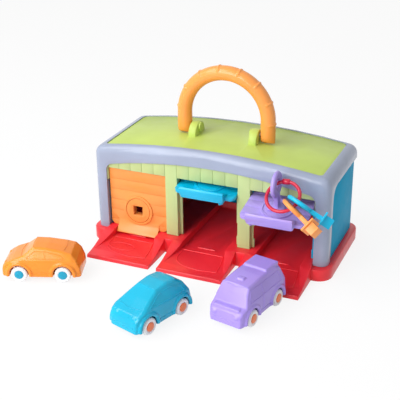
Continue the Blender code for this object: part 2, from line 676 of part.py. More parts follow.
def front_panel():
    """Green header with two mullions, their door stops, bolt notches and pivot sockets."""
    half = FRAME_WIDTH / 2 - FRAME_EDGE - GAP
    header = arch_outline(half, HEADER_LOW, HEADER_CREST, ARCH_RADIUS, FRAME_SHOULDER - FRAME_EDGE)
    panel = prism("front_panel", header, "Y", PANEL_FRONT, PANEL_BACK)
    inner = BAY_HALF
    outer = BAY_PITCH - BAY_HALF
    for sign in (-1, 1):
        span = sorted((sign * inner, sign * outer))
        join(panel, box("mullion", (span[0], PANEL_FRONT, STAND), (span[1], BAR_BACK, BAR_TOP)))
        for edge, toward in ((inner, -1), (outer, 1)):
            reach = sorted((sign * (edge - toward * FLANGE_REACH / 4), sign * (edge + toward * FLANGE_REACH)))
            join(panel, box("flange", (reach[0], FLANGE_FRONT, STAND), (reach[1], FLANGE_BACK, FLANGE_TOP)))
        ear = sorted((sign * (BAY_PITCH + BAY_HALF), sign * (BAY_PITCH + BAY_HALF + EAR_WIDTH)))
        join(panel, box("ear", (ear[0], PANEL_FRONT, EAR_LOW), (ear[1], BAR_BACK, HEADER_LOW + BAR_DEPTH)))
    for edge in (BAY_HALF - FLANGE_REACH, -(BAY_PITCH - BAY_HALF) - FLANGE_REACH):
        cut(panel, *notch(1, edge))
    cut(panel, *notch(-1, BAY_PITCH - BAY_HALF + FLANGE_REACH))
    for bay in BAYS.values():
        for sign in (-1, 1):
            edge = bay + sign * BAY_HALF
            ends = sorted((edge - sign * CUT, edge + sign * SOCKET_DEPTH))
            socket = prism("socket", circle(SOCKET_RADIUS, 10), "X", ends[0], ends[1])
            cut(panel, moved(socket, (0, PIVOT_DEPTH, PIVOT_HEIGHT)))
    grooves = []
    for bay in BAYS.values():
        grooves += [bay - BAY_HALF + BAY_WIDTH * i / HEADER_PLANKS for i in range(HEADER_PLANKS + 1)]
    for x in grooves:
        cut(panel, box("groove", (x - PLANK_GROOVE / 2, PANEL_FRONT - CUT, HEADER_LOW - CUT),
                       (x + PLANK_GROOVE / 2, PANEL_FRONT + PLANK_GROOVE_DEPTH, FRAME_CREST)))
    for x, y, top in screw_places():
        if top == DECK_HEIGHT:
            hole = prism("screw_hole", circle(SCREW_RADIUS + GAP, 12), "Z", 0, SCREW_HEAD_HEIGHT + SCREW_LENGTH + CUT)
            cut(panel, moved(hole, (x, y, 0)))
    return finish(panel, "pale_green")


def roof_slab(name, half_x, half_y, corner, top, wall):
    """Arched slab with a rounded plan, its upper face below the frame's crest by top."""
    crest = FRAME_CREST - top
    slab = prism(name, rounded(-half_x, -half_y, half_x, half_y, [corner] * 4), "Z", RAIL_LOW, FRAME_CREST + CUT)
    radius = ARCH_RADIUS - top
    steps = ARCH_STEPS
    lean = asin((half_x + CUT) / radius)
    above = arc(0, crest - radius, radius, pi / 2 - lean, pi / 2 + lean, steps)
    below = arc(0, crest - radius, radius - wall, pi / 2 + lean, pi / 2 - lean, steps)
    band = prism("band", above + below, "Y", -FRAME_DEPTH, FRAME_DEPTH)
    return combine(slab, band, "INTERSECT")


def roof_panel():
    """Green arched roof that laps under the frame's border and carries the two handle lugs."""
    half_x = FRAME_WIDTH / 2 - ROOF_BORDER_SIDE - GAP
    half_y = FRAME_DEPTH / 2 - ROOF_BORDER_FRONT - GAP
    roof = roof_slab("roof_panel", half_x, half_y, ROOF_CORNER, ROOF_STEP, ROOF_SKIN + ROOF_LAP / 2)
    lap_top = ROOF_STEP + ROOF_SKIN
    lap = roof_slab("lap", half_x + ROOF_LAP, half_y + ROOF_LAP, ROOF_CORNER + ROOF_LAP, lap_top, ROOF_SKIN)
    join(roof, lap)
    lug_low = FRAME_CREST - ROOF_STEP - ROOF_SKIN - sag(ARCH_RADIUS, LUG_INNER + LUG_WALL)
    radius = LUG_DEPTH / 2
    for sign in (-1, 1):
        top = arc(0, LUG_TOP - radius, radius, 0, pi, 12)
        outline = [(radius, lug_low)] + top + [(-radius, lug_low)]
        if LUG_TOP - radius < lug_low:
            outline = [point for point in top if point[1] > lug_low]
            width = sqrt(radius ** 2 - (lug_low - LUG_TOP + radius) ** 2)
            outline = [(width, lug_low)] + outline + [(-width, lug_low)]
        span = sorted((sign * LUG_INNER, sign * (LUG_INNER + LUG_WALL)))
        join(roof, prism("lug", outline, "X", span[0], span[1], LUG_EDGE, 2, True))
        bore = prism("bore", circle(PIN_RADIUS + GAP, 12), "X", span[0] - CUT, span[1] + CUT)
        cut(roof, moved(bore, (0, 0, HANDLE_PIVOT)))
    return finish(roof, "green")


def handle_section():
    """Rounded section of the grip: radial across, depth up."""
    corner = GRIP_THICK * GRIP_ROUND_SHARE
    half_r = GRIP_THICK / 2
    half_d = GRIP_DEPTH / 2
    return rounded(-half_r, -half_d, half_r, half_d, [corner] * 4, 3)


def carry_handle():
    """Orange hoop swept from foot to foot, with ridges across its outer spine."""
    section = handle_section()
    foot = -(HOOP_HEIGHT - HANDLE_PIVOT) - GRIP_DEPTH
    stations = [((HOOP_RADIUS, foot), 0, 0)]
    first = 90 - RIDGE_SPACING * (RIDGE_COUNT - 1) / 2
    for number in range(RIDGE_COUNT):
        for share, lift in RIDGE_SHARES:
            angle = radians(first + number * RIDGE_SPACING + share * RIDGE_SPAN)
            if 0 < angle < pi:
                stations.append(((HOOP_RADIUS * cos(angle), HOOP_RADIUS * sin(angle)), angle, lift * RIDGE_HEIGHT))
    stations.append(((-HOOP_RADIUS, foot), pi, 0))
    bm = bmesh.new()
    rings = []
    for (across, up), angle, offset in stations:
        ring = []
        for radial, depth in section:
            out = radial + (offset if radial > GRIP_THICK / 2 - GRIP_THICK * GRIP_ROUND_SHARE / 2 else 0)
            place = (across + out * cos(angle), depth, up + out * sin(angle))
            ring.append(bm.verts.new(place))
        rings.append(ring)
    for first, second in zip(rings, rings[1:]):
        for i in range(len(section)):
            j = (i + 1) % len(section)
            bm.faces.new([first[i], first[j], second[j], second[i]])
    bm.faces.new(rings[0])
    bm.faces.new(rings[-1])
    handle = piece("carry_handle", bm)
    lift = HOOP_HEIGHT - HANDLE_PIVOT
    moved(handle, (0, 0, lift))
    radius = GRIP_DEPTH / 2
    top = lift + HOOP_RADIUS + GRIP_THICK
    wide = radius + CUT
    side = arc(0, 0, radius, pi, 2 * pi, 10) + [(wide, radius), (wide, top), (-wide, top), (-wide, radius)]
    reach = HOOP_RADIUS + GRIP_THICK
    combine(handle, prism("side_view", side, "X", -reach, reach), "INTERSECT")
    for sign in (-1, 1):
        ends = sorted((sign * (HOOP_RADIUS - GRIP_THICK), sign * (HOOP_RADIUS + PIN_HEAD_HEIGHT)))
        cut(handle, prism("bore", circle(PIN_RADIUS + GAP, 12), "X", ends[0], ends[1]))
    finish(handle, "orange", 0.35, 0, 50)
    return attach(handle, empty("handle_pivot", (0, 0, HANDLE_PIVOT)))


def handle_pins():
    """Headed pins through the lugs and into the handle's feet."""
    for name, sign in (("handle_pin_left", -1), ("handle_pin_right", 1)):
        inner = LUG_INNER - GAP
        length = HOOP_RADIUS - LUG_INNER
        profile = [(0, -PIN_HEAD_HEIGHT), (PIN_HEAD_RADIUS, -PIN_HEAD_HEIGHT), (PIN_HEAD_RADIUS, 0),
                   (PIN_RADIUS, 0), (PIN_RADIUS, length), (0, length)]
        pin = lathe(name, [(radius, sign * height) for radius, height in profile], "X", 12)
        finish(pin, "steel", 0.3, 1.0).location = (sign * inner, 0, HANDLE_PIVOT)


def door_panel(name, colour):
    """Planked door seen from its pivot axis: rim and boss behind, ring and pull lip in front."""
    front = -DOOR_WALL / 2
    back = DOOR_WALL / 2
    top = PIVOT_BELOW_HEADER - DOOR_TOP_GAP
    low = STAND + GAP - PIVOT_HEIGHT
    tongue_low = DOOR_FOOT
    half = TONGUE_WIDTH / 2
    sheet = prism(name, rounded(-DOOR_HALF, low, DOOR_HALF, top, [0, 0, DOOR_CORNER, DOOR_CORNER]), "Y", front, back)
    tongue = rounded(-half, tongue_low, half, low + TONGUE_CORNER, [0, 0, TONGUE_CORNER, TONGUE_CORNER], 3)
    join(sheet, prism("tongue", tongue, "Y", front, back))
    pocket = box("pocket", (-DOOR_HALF + DOOR_RIM, front + DOOR_SKIN, low + DOOR_RIM),
                 (DOOR_HALF - DOOR_RIM, back + CUT, top - DOOR_RIM))
    lock = -LOCK_BELOW_PIVOT
    boss = prism("boss", circle(RING_OUTER), "Y", front, back + 2 * CUT)
    cut(pocket, moved(boss, (0, 0, lock)))
    cut(sheet, pocket)
    planks = (top - tongue_low) / (DOOR_PLANKS + 1)
    for i in range(1, DOOR_PLANKS + 1):
        z = top - planks * i
        cut(sheet, box("groove", (-DOOR_HALF - CUT, front - CUT, z - PLANK_GROOVE / 2),
                       (DOOR_HALF + CUT, front + PLANK_GROOVE_DEPTH, z + PLANK_GROOVE / 2)))
    ring = prism("ring", circle(RING_OUTER, 28), "Y", front - RING_RISE, front + DOOR_SKIN / 2)
    join(sheet, moved(ring, (0, 0, lock)))
    scoop = [(front + DOOR_SKIN / 2, tongue_low), (front - LIP_REACH + LIP_NOSE, tongue_low)]
    scoop += [(front - LIP_REACH, tongue_low + LIP_NOSE)]
    scoop += [(front - LIP_REACH * (1 - i / ARC_STEPS) ** 1.6, tongue_low + LIP_NOSE + (LIP_RISE - LIP_NOSE) * i / ARC_STEPS)
              for i in range(1, ARC_STEPS)]
    scoop += [(front, tongue_low + LIP_RISE), (front + DOOR_SKIN / 2, tongue_low + LIP_RISE)]
    join(sheet, prism("pull_lip", scoop, "X", -half, half))
    seat = lathe("seat", [(0, front - RING_RISE - CUT), (RING_INNER, front - RING_RISE - CUT),
                          (RING_INNER, front + BARREL_SEAT), (HUB_RADIUS + GAP, front + BARREL_SEAT),
                          (HUB_RADIUS + GAP, back + CUT), (0, back + CUT)], "Y", 28)
    cut(sheet, moved(seat, (0, 0, lock)))
    for sign in (-1, 1):
        span = sorted((sign * (DOOR_HALF - SLOT_DEPTH), sign * (DOOR_HALF + CUT)))
        cut(sheet, box("slot", (span[0], -SLOT_WIDTH / 2, SLOT_LOW),
                       (span[1], SLOT_WIDTH / 2, SLOT_TOP)))
    return finish(sheet, colour)


def door_shoes(colour, pivot):
    """Flat shoes in the door's edge slots, each with a pivot in the jamb's socket."""
    for side, sign in (("left", -1), ("right", 1)):
        thick = SLOT_WIDTH / 2 - SHOE_CLEAR
        inner = DOOR_HALF - SLOT_DEPTH + GAP
        span = sorted((sign * inner, sign * (DOOR_HALF + DOOR_SIDE_GAP / 2)))
        shoe = box(f"{colour}_shoe_{side}", (span[0], -thick, -SHOE_LENGTH / 2), (span[1], thick, SHOE_LENGTH / 2))
        end = BAY_HALF + SOCKET_DEPTH - PIVOT_END_GAP
        ends = sorted((sign * (DOOR_HALF + DOOR_SIDE_GAP / 4), sign * end))
        join(shoe, prism("pivot", circle(PIVOT_RADIUS, 10), "X", ends[0], ends[1]))
        attach(finish(shoe, "steel", 0.3, 1.0), pivot)


def keyhole(colour, size):
    """Outline of a key's block and of the keyhole that takes it."""
    half = size / 2
    if colour == "teal":
        reach = half * 1.25
        return [(0, reach), (-reach * sin(pi / 3) , -reach / 2), (reach * sin(pi / 3), -reach / 2)]
    if colour == "purple":
        arm = half * KEY_CROSS_SHARE
        quarter = [(half, -arm), (half, arm), (arm, arm)]
        points = []
        for turn in range(4):
            c, s = round(cos(turn * pi / 2)), round(sin(turn * pi / 2))
            points += [(u * c - v * s, u * s + v * c) for u, v in quarter]
        return points
    return [(half, half), (-half, half), (-half, -half), (half, -half)]


def lock(colour, parent):
    """Barrel with its shaped keyhole, and the bolt arm fixed on the barrel's inner end."""
    front = -DOOR_WALL / 2
    back = DOOR_WALL / 2
    hole = keyhole(colour, KEY_BLOCK + 2 * KEY_PLAY)
    face = front - BARREL_RISE
    seat = front + BARREL_SEAT - GAP
    hub_end = FLANGE_FRONT + KEEPER_WALL - PIVOT_DEPTH
    profile = [(0, face), (BARREL_RADIUS - GAP, face), (BARREL_RADIUS, face + GAP), (BARREL_RADIUS, seat),
               (HUB_RADIUS, seat), (HUB_RADIUS, hub_end), (0, hub_end)]
    barrel = lathe(f"{colour}_lock_barrel", profile, "Y", 28)
    cut(barrel, prism("keyhole", hole, "Y", face - CUT, back + CUT))
    attach(finish(barrel, colour_of(colour)), parent)
    bolt_front = hub_end + GAP
    bolt = prism(f"{colour}_lock_bolt", circle(BOLT_HUB_RADIUS), "Y", bolt_front, bolt_front + BOLT_WALL)
    half = BOLT_WIDTH / 2
    hand = BOLT_HAND[colour]
    ends = sorted((0, hand * BOLT_REACH))
    arm = box("arm", (ends[0], bolt_front, -half), (ends[1], bolt_front + BOLT_WALL, half))
    join(bolt, moved(arm, (0, 0, 0), Matrix.Rotation(hand * BOLT_PARK, 3, "Y")))
    cut(bolt, prism("keyhole", hole, "Y", bolt_front - CUT, bolt_front + BOLT_WALL + CUT))
    attach(finish(bolt, colour_of(colour)), parent)


def colour_of(bay):
    return "sky" if bay == "teal" else bay


def door(colour, angle, lift):
    """A door hung in its bay: pivots in the jambs, a panel that slides on them, and its lock."""
    pivot = empty(f"{colour}_door_pivot", (BAYS[colour], PIVOT_DEPTH, PIVOT_HEIGHT), None, (radians(-angle), 0, 0))
    door_shoes(colour, pivot)
    panel = attach(door_panel(f"{colour}_door", colour_of(colour)), pivot, (0, 0, lift))
    holder = empty(f"{colour}_lock", (0, 0, -LOCK_BELOW_PIVOT), panel)
    lock(colour, holder)
    return holder


def key(colour):
    """Key along -Y from its flange to its bow, its block along +Y; the bow faces X."""
    round_edge = BOW_ROUND
    half = BOW_WALL / 2
    profile = [(BOW_HOLE + round_edge, half), (BOW_RADIUS - round_edge, half), (BOW_RADIUS, half - round_edge),
               (BOW_RADIUS, round_edge - half), (BOW_RADIUS - round_edge, -half), (BOW_HOLE + round_edge, -half),
               (BOW_HOLE, round_edge - half), (BOW_HOLE, half - round_edge)]
    made = moved(lathe(f"{colour}_key", profile, "X", 24, True), (0, -KEY_REACH, 0))
    neck_start = -KEY_REACH + (BOW_RADIUS + BOW_HOLE) / 2
    half_neck = NECK_WIDTH / 2
    join(made, box("neck", (-half, neck_start, -half_neck), (half, -KEY_FLANGE_WALL / 2, half_neck)))
    for sign in (-1, 1):
        depth = sorted((sign * (half - NECK_RECESS), sign * (half + CUT)))
        cut(made, box("recess", (depth[0], -KEY_REACH + BOW_RADIUS + NECK_RIM, -half_neck + NECK_RIM),
                      (depth[1], -KEY_FLANGE_WALL - NECK_RIM, half_neck - NECK_RIM)))
    plate = KEY_FLANGE / 2
    join(made, box("flange", (-plate, -KEY_FLANGE_WALL, -plate), (plate, 0, plate)))
    join(made, prism("block", keyhole(colour, KEY_BLOCK), "Y", -KEY_FLANGE_WALL / 2, KEY_BLOCK_LENGTH))
    return finish(made, colour_of(colour))


def key_ring():
    """Closed hoop in its own XZ plane with a ferrule over its joint."""
    profile = [(KEY_RING_RADIUS + u, v) for u, v in circle(KEY_RING_WIRE, 8)]
    ring = lathe("key_ring", profile, "Y", 36, True)
    half = FERRULE_LENGTH / 2
    ferrule = prism("ferrule", circle(FERRULE_RADIUS, 10), "X", -half, half, FERRULE_RADIUS / 4, 1, True)
    join(ring, moved(ferrule, (0, 0, KEY_RING_RADIUS)))
    return finish(ring, "cherry", 0.3)


def round_the_ring(spot):
    return Vector((sin(spot), 0, cos(spot))) * KEY_RING_RADIUS


def bunch(purple_key):
    """Ring through the purple key's bow, and the two loose keys that hang on it."""
    link = empty("ring_link", Vector((0, -KEY_REACH, 0)) + Vector(RING_HOLD), purple_key)
    held = round_the_ring(radians(RING_SPOTS["purple"]))
    ring = hang(key_ring(), link, held, [radians(a) for a in RING_TURN])
    for colour in KEY_TURNS:
        spot = radians(RING_SPOTS[colour])
        link = empty(f"{colour}_key_link", round_the_ring(spot), ring, (0, spot, 0))
        held = Vector((0, -KEY_REACH, 0)) + Vector(KEY_HOLDS[colour])
        hang(key(colour), link, held, [radians(a) for a in KEY_TURNS[colour]])


def car_section(across, share, low, top, roof_share):
    """Points of one cross-section, from the left sill over the roof to the right sill."""
    half = CAR_WIDTH / 2 * share
    rise = max(0, min(1, (top - CAR_BELT) / (CAR_HEIGHT - CAR_BELT)))
    upper = half * (1 - rise * (1 - roof_share))
    shoulder = min(CAR_BELT, top - WHEEL_ROUND * 2)
    side = [(half * out, low + (shoulder - low) * up) for out, up in CAR_SIDE_SHARES]
    side += [(upper * CAR_CANT_SHARES[0], top - WHEEL_ROUND), (upper * CAR_CANT_SHARES[1], top)]
    points = [(-y, z) for y, z in side] + [(0, top + WHEEL_ROUND / 4)] + side[::-1]
    return [(across, y, z) for y, z in points]


def loft(name, sections):
    """Closed body through rings of points."""
    bm = bmesh.new()
    rings = [[bm.verts.new(place) for place in section] for section in sections]
    for first, second in zip(rings, rings[1:]):
        for i in range(len(first)):
            j = (i + 1) % len(first)
            bm.faces.new([first[i], first[j], second[j], second[i]])
    bm.faces.new(rings[0])
    bm.faces.new(rings[-1])
    return piece(name, bm)


def car_body(colour):
    """Moulded body with wheel arches and a pocket below for the underbody."""
    shares = zip(CAR_OUTLINE_SHARES[colour], CAR_END_SHARES)
    sections = [car_section(x * CAR_LENGTH, width, CAR_SILL, z * CAR_HEIGHT, CAR_ROOF_SHARES[colour])
                for (x, z), width in shares]
    body = loft(f"{colour}_car_body", sections)
    reach = CAR_LENGTH * POCKET_SHARE
    half = CAR_WIDTH / 2 - CAR_WALL
    cut(body, box("pocket", (-reach, -half, -CUT), (reach, half, CAR_POCKET_HEIGHT)))
    for end in (-1, 1):
        arch = prism("arch", circle(WHEEL_RADIUS + ARCH_CLEAR, 24), "Y", -CAR_WIDTH, CAR_WIDTH)
        cut(body, moved(arch, (end * CAR_WHEELBASE / 2, 0, WHEEL_RADIUS)))
    return finish(body, colour_of(colour), 0.3, 0, 40)


def car_underbody(colour):
    """Floor plate with two saddles that carry the axles."""
    reach = CAR_LENGTH * POCKET_SHARE - GAP
    half = CAR_WIDTH / 2 - CAR_WALL - GAP
    plate = box(f"{colour}_car_underbody", (-reach, -half, CAR_SILL - PLATE_WALL / 2),
                (reach, half, CAR_SILL + PLATE_WALL / 2))
    track = CAR_WIDTH / 2 - WHEEL_WIDTH - GAP * 4
    for end in (-1, 1):
        x = end * CAR_WHEELBASE / 2
        well = SADDLE_LENGTH / 2 + WHEEL_RADIUS
        for side in (-1, 1):
            edges = sorted((side * track, side * (half + CUT)))
            cut(plate, box("wheel_well", (x - well, edges[0], 0), (x + well, edges[1], CAR_POCKET_HEIGHT)))
        saddle = box("saddle", (x - SADDLE_LENGTH / 2, -SADDLE_WIDTH, CAR_SILL),
                     (x + SADDLE_LENGTH / 2, SADDLE_WIDTH, WHEEL_RADIUS + SADDLE_LENGTH / 2))
        join(plate, saddle)
        bore = prism("bore", circle(AXLE_RADIUS + GAP, 10), "Y", -SADDLE_WIDTH - CUT, SADDLE_WIDTH + CUT)
        cut(plate, moved(bore, (x, 0, WHEEL_RADIUS)))
    return finish(plate, colour_of(colour))


def car_wheels(name):
    """Axle with a round-edged wheel on each end."""
    outer = CAR_WIDTH / 2 + WHEEL_DISH
    inner = outer - WHEEL_WIDTH
    radius = WHEEL_RADIUS
    hub, rim = [radius * share for share in WHEEL_FACE_SHARES]
    side = [(hub, outer - WHEEL_DISH), (rim, outer), (radius - WHEEL_ROUND, outer),
            (radius, outer - WHEEL_ROUND), (radius, inner + WHEEL_ROUND), (radius - WHEEL_ROUND, inner),
            (AXLE_RADIUS, inner)]
    profile = [(0, outer - WHEEL_DISH)] + side + [(r, -h) for r, h in reversed(side)] + [(0, WHEEL_DISH - outer)]
    return finish(lathe(name, profile, "Y", 16), "white", 0.35)


def car(colour):
    """Toy car on the ground: its nose along its own +X, its origin between the axles."""
    x, y, heading = CAR_PLACES[colour]
    ground = empty(f"{colour}_car", (x, y, 0), None, (0, 0, radians(heading)))
    attach(car_body(colour), ground)
    attach(car_underbody(colour), ground)
    for end, name in ((1, "front"), (-1, "rear")):
        axle = empty(f"{colour}_{name}_axle", (end * CAR_WHEELBASE / 2, 0, WHEEL_RADIUS), ground)
        attach(car_wheels(f"{colour}_car_{name}_wheels"), axle)


def build():
    clear_scene()
    base_tray()
    wall_shell()
    front_panel()
    roof_panel()
    edge_frame()
    carry_handle()
    handle_pins()
    base_screws()
    door("orange", 0, 0)
    door("teal", DOOR_SWING, TEAL_LIFT)
    purple_lock = door("purple", DOOR_SWING, PURPLE_LIFT)
    purple_key = attach(key("purple"), purple_lock, (0, -DOOR_WALL / 2 - BARREL_RISE - GAP, 0))
    bunch(purple_key)
    for colour in CAR_PLACES:
        car(colour)


build()
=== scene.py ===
import json
from math import cos, pi, radians, sin, sqrt

import bpy
from mathutils import Matrix, Vector
from mathutils.bvhtree import BVHTree


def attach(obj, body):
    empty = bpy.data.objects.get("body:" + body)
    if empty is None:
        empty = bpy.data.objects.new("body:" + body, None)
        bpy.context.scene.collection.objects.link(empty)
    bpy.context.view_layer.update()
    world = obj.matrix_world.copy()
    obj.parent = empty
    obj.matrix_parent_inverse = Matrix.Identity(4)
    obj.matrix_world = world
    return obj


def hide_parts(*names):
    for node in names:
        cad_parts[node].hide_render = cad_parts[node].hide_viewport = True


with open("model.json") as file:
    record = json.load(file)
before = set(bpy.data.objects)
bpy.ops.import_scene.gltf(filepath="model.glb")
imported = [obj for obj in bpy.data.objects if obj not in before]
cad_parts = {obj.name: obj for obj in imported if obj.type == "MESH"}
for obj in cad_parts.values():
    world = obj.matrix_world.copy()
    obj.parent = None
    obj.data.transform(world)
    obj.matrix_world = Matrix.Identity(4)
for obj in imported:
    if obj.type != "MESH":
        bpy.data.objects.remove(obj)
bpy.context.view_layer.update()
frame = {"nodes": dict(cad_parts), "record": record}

# Camera: three quarters from the right and a little above, with a long lens, so that the toy's
# edges run nearly parallel. The whole toy with its keys and cars is in view.
VIEW_PLACE = (0.3835, -0.9565, 0.5256)
VIEW_TURN = radians(23.66)
VIEW_HEIGHT = radians(24.83)
VIEW_ROLL = radians(-0.76)
VIEW_LENS = 81.3
camera_data = bpy.data.cameras.new("camera")
camera_data.lens = VIEW_LENS
camera_data.sensor_width = 36
camera_data.clip_start = 0.05
camera = bpy.data.objects.new("camera", camera_data)
bpy.context.scene.collection.objects.link(camera)
camera.location = VIEW_PLACE
camera_turn = Matrix.Rotation(VIEW_TURN, 3, "Z") @ Matrix.Rotation(pi / 2 - VIEW_HEIGHT, 3, "X")
camera.rotation_euler = (camera_turn @ Matrix.Rotation(VIEW_ROLL, 3, "Z")).to_euler()
bpy.context.scene.camera = camera
bpy.context.scene.view_settings.view_transform = "Standard"

# Table: a wide sheet of white matt board that the toy stands on. It keeps the toy's soft shadow,
# and is white as far as it can be seen.
SHEET_SIZE = 6
SHEET_LEVEL = -0.0002
SHEET_WHITE = (0.97, 0.97, 0.975, 1)
SHEET_ROUGHNESS = 0.8
SHEET_GLOW = 0.86


def seeing_rays(tree):
    """1 for a ray that shows the white round the toy: straight, through glass or in a mirror."""
    path = tree.nodes.new("ShaderNodeLightPath")
    found = path.outputs["Is Camera Ray"]
    for kind in ("Is Transmission Ray", "Is Glossy Ray"):
        either = tree.nodes.new("ShaderNodeMath")
        either.operation = "MAXIMUM"
        tree.links.new(found, either.inputs[0])
        tree.links.new(path.outputs[kind], either.inputs[1])
        found = either.outputs[0]
    return found


bpy.ops.object.select_all(action="DESELECT")
bpy.ops.mesh.primitive_plane_add(size=SHEET_SIZE, location=(0, 0, SHEET_LEVEL))
table = bpy.context.object
table.name = "table"
table_finish = bpy.data.materials.new("table")
table_finish.use_nodes = True
nodes, links = table_finish.node_tree.nodes, table_finish.node_tree.links
shader = nodes["Principled BSDF"]
shader.inputs["Base Color"].default_value = SHEET_WHITE
shader.inputs["Roughness"].default_value = SHEET_ROUGHNESS
glow = nodes.new("ShaderNodeEmission")
glow.inputs["Color"].default_value = (1, 1, 1, 1)
share = nodes.new("ShaderNodeMath")
share.operation = "MULTIPLY"
share.inputs[1].default_value = SHEET_GLOW
paler = nodes.new("ShaderNodeMixShader")
links.new(seeing_rays(table_finish.node_tree), share.inputs[0])
links.new(share.outputs[0], paler.inputs["Fac"])
links.new(shader.outputs["BSDF"], paler.inputs[1])
links.new(glow.outputs["Emission"], paler.inputs[2])
links.new(paler.outputs[0], nodes["Material Output"].inputs["Surface"])
table.data.materials.append(table_finish)

# Room: plain white all round the toy, and a little brighter on the left than on the right. It
# looks whiter than the light it gives, so that the toy isn't overlit.
ROOM_WHITE = (1, 1, 1, 1)
ROOM_LEFT = 0.68
ROOM_RIGHT = 0.38
world = bpy.data.worlds.new("studio")
bpy.context.scene.world = world
world.use_nodes = True
nodes, links = world.node_tree.nodes, world.node_tree.links
nodes.clear()
facing = nodes.new("ShaderNodeTexCoord")
sides = nodes.new("ShaderNodeSeparateXYZ")
level = nodes.new("ShaderNodeMapRange")
level.inputs["From Min"].default_value = -1
level.inputs["To Min"].default_value = ROOM_LEFT
level.inputs["To Max"].default_value = ROOM_RIGHT
surroundings = nodes.new("ShaderNodeBackground")
surroundings.inputs["Color"].default_value = ROOM_WHITE
seen = nodes.new("ShaderNodeBackground")
seen.inputs["Color"].default_value = ROOM_WHITE
blend = nodes.new("ShaderNodeMixShader")
out = nodes.new("ShaderNodeOutputWorld")
links.new(facing.outputs["Generated"], sides.inputs[0])
links.new(sides.outputs["X"], level.inputs["Value"])
links.new(level.outputs["Result"], surroundings.inputs["Strength"])
links.new(seeing_rays(world.node_tree), blend.inputs["Fac"])
links.new(surroundings.outputs[0], blend.inputs[1])
links.new(seen.outputs[0], blend.inputs[2])
links.new(blend.outputs[0], out.inputs["Surface"])

# Lamps: a high window on the left, and a lower soft lamp in front on the left that reaches into
# the bays. Both are square panels turned to the middle of the toy.
LAMP_AIM = Vector((0, 0, 0.08))
LAMPS = (("window_left", (-0.9, -0.7, 1.3), 0.9, 11),
         ("front_fill", (-0.42, -1.35, 0.75), 0.9, 13.5))
for name, place, width, watts in LAMPS:
    lamp_data = bpy.data.lights.new(name, "AREA")
    lamp_data.shape = "SQUARE"
    lamp_data.size = width
    lamp_data.energy = watts
    lamp = bpy.data.objects.new(name, lamp_data)
    bpy.context.scene.collection.objects.link(lamp)
    lamp.location = place
    lamp.rotation_euler = (Vector(place) - LAMP_AIM).to_track_quat("Z", "Y").to_euler()

# Base tray: one red moulding with the floor, the three ramps and their cheeks, the kerbs and the
# ridges that hold a door shut. Injection moulded in satin plastic and screwed on from below.
FLOW_SCALE = 22
FLOW_SHADES = (0.93, 1.05)
HAZE_SCALE = 70
HAZE_SPREAD = (-0.03, 0.07)
GRAIN_SCALE = 900
FLOW_OVER_GRAIN = 6
GRAIN_DEPTH = 0.00008


def moulded_look():
    """Flow marks in the colour, handling haze in the gloss and a fine tool grain."""
    group = bpy.data.node_groups.new("moulded_plastic", "ShaderNodeTree")
    for name, way, kind in (("Colour", "INPUT", "Color"), ("Gloss", "INPUT", "Float"),
                            ("Depth", "INPUT", "Float"), ("Colour", "OUTPUT", "Color"),
                            ("Roughness", "OUTPUT", "Float"), ("Normal", "OUTPUT", "Vector")):
        group.interface.new_socket(name, in_out=way, socket_type=f"NodeSocket{kind}")
    nodes, links = group.nodes, group.links
    given = nodes.new("NodeGroupInput")
    result = nodes.new("NodeGroupOutput")
    place = nodes.new("ShaderNodeTexCoord")

    def clouds(scale, detail):
        """Soft noise fixed to the piece."""
        made = nodes.new("ShaderNodeTexNoise")
        made.inputs["Scale"].default_value = scale
        made.inputs["Detail"].default_value = detail
        links.new(place.outputs["Object"], made.inputs["Vector"])
        return made.outputs["Fac"]

    def spread(value, most, least_out, most_out):
        """Stretches the middle of a noise to a range."""
        made = nodes.new("ShaderNodeMapRange")
        made.inputs["From Min"].default_value = 0.3
        made.inputs["From Max"].default_value = most
        made.inputs["To Min"].default_value = least_out
        made.inputs["To Max"].default_value = most_out
        links.new(value, made.inputs["Value"])
        return made.outputs["Result"]

    flow = clouds(FLOW_SCALE, 3)
    haze = clouds(HAZE_SCALE, 2)
    grain = clouds(GRAIN_SCALE, 1)
    tint = nodes.new("ShaderNodeHueSaturation")
    links.new(given.outputs["Colour"], tint.inputs["Color"])
    links.new(spread(flow, 0.7, *FLOW_SHADES), tint.inputs["Value"])
    links.new(tint.outputs["Color"], result.inputs["Colour"])
    rough = nodes.new("ShaderNodeMath")
    links.new(given.outputs["Gloss"], rough.inputs[0])
    links.new(spread(haze, 0.75, *HAZE_SPREAD), rough.inputs[1])
    links.new(rough.outputs[0], result.inputs["Roughness"])
    relief = nodes.new("ShaderNodeMath")
    relief.operation = "MULTIPLY_ADD"
    relief.inputs[1].default_value = FLOW_OVER_GRAIN
    links.new(flow, relief.inputs[0])
    links.new(grain, relief.inputs[2])
    bump = nodes.new("ShaderNodeBump")
    bump.inputs["Distance"].default_value = GRAIN_DEPTH
    links.new(given.outputs["Depth"], bump.inputs["Strength"])
    links.new(relief.outputs[0], bump.inputs["Height"])
    links.new(bump.outputs["Normal"], result.inputs["Normal"])
    return group


MOULDED_LOOK = moulded_look()


def plastic(name, colour, gloss=0.33, depth=0.22, shine=0.5):
    """Plastic in one colour, with the moulded look. A smaller gloss is a smoother surface."""
    made = bpy.data.materials.new(name)
    made.use_nodes = True
    nodes, links = made.node_tree.nodes, made.node_tree.links
    look = nodes.new("ShaderNodeGroup")
    look.node_tree = MOULDED_LOOK
    look.inputs["Colour"].default_value = (*colour, 1)
    look.inputs["Gloss"].default_value = gloss
    look.inputs["Depth"].default_value = depth
    shader = nodes["Principled BSDF"]
    shader.inputs["Specular IOR Level"].default_value = shine
    links.new(look.outputs["Colour"], shader.inputs["Base Color"])
    links.new(look.outputs["Roughness"], shader.inputs["Roughness"])
    links.new(look.outputs["Normal"], shader.inputs["Normal"])
    return made


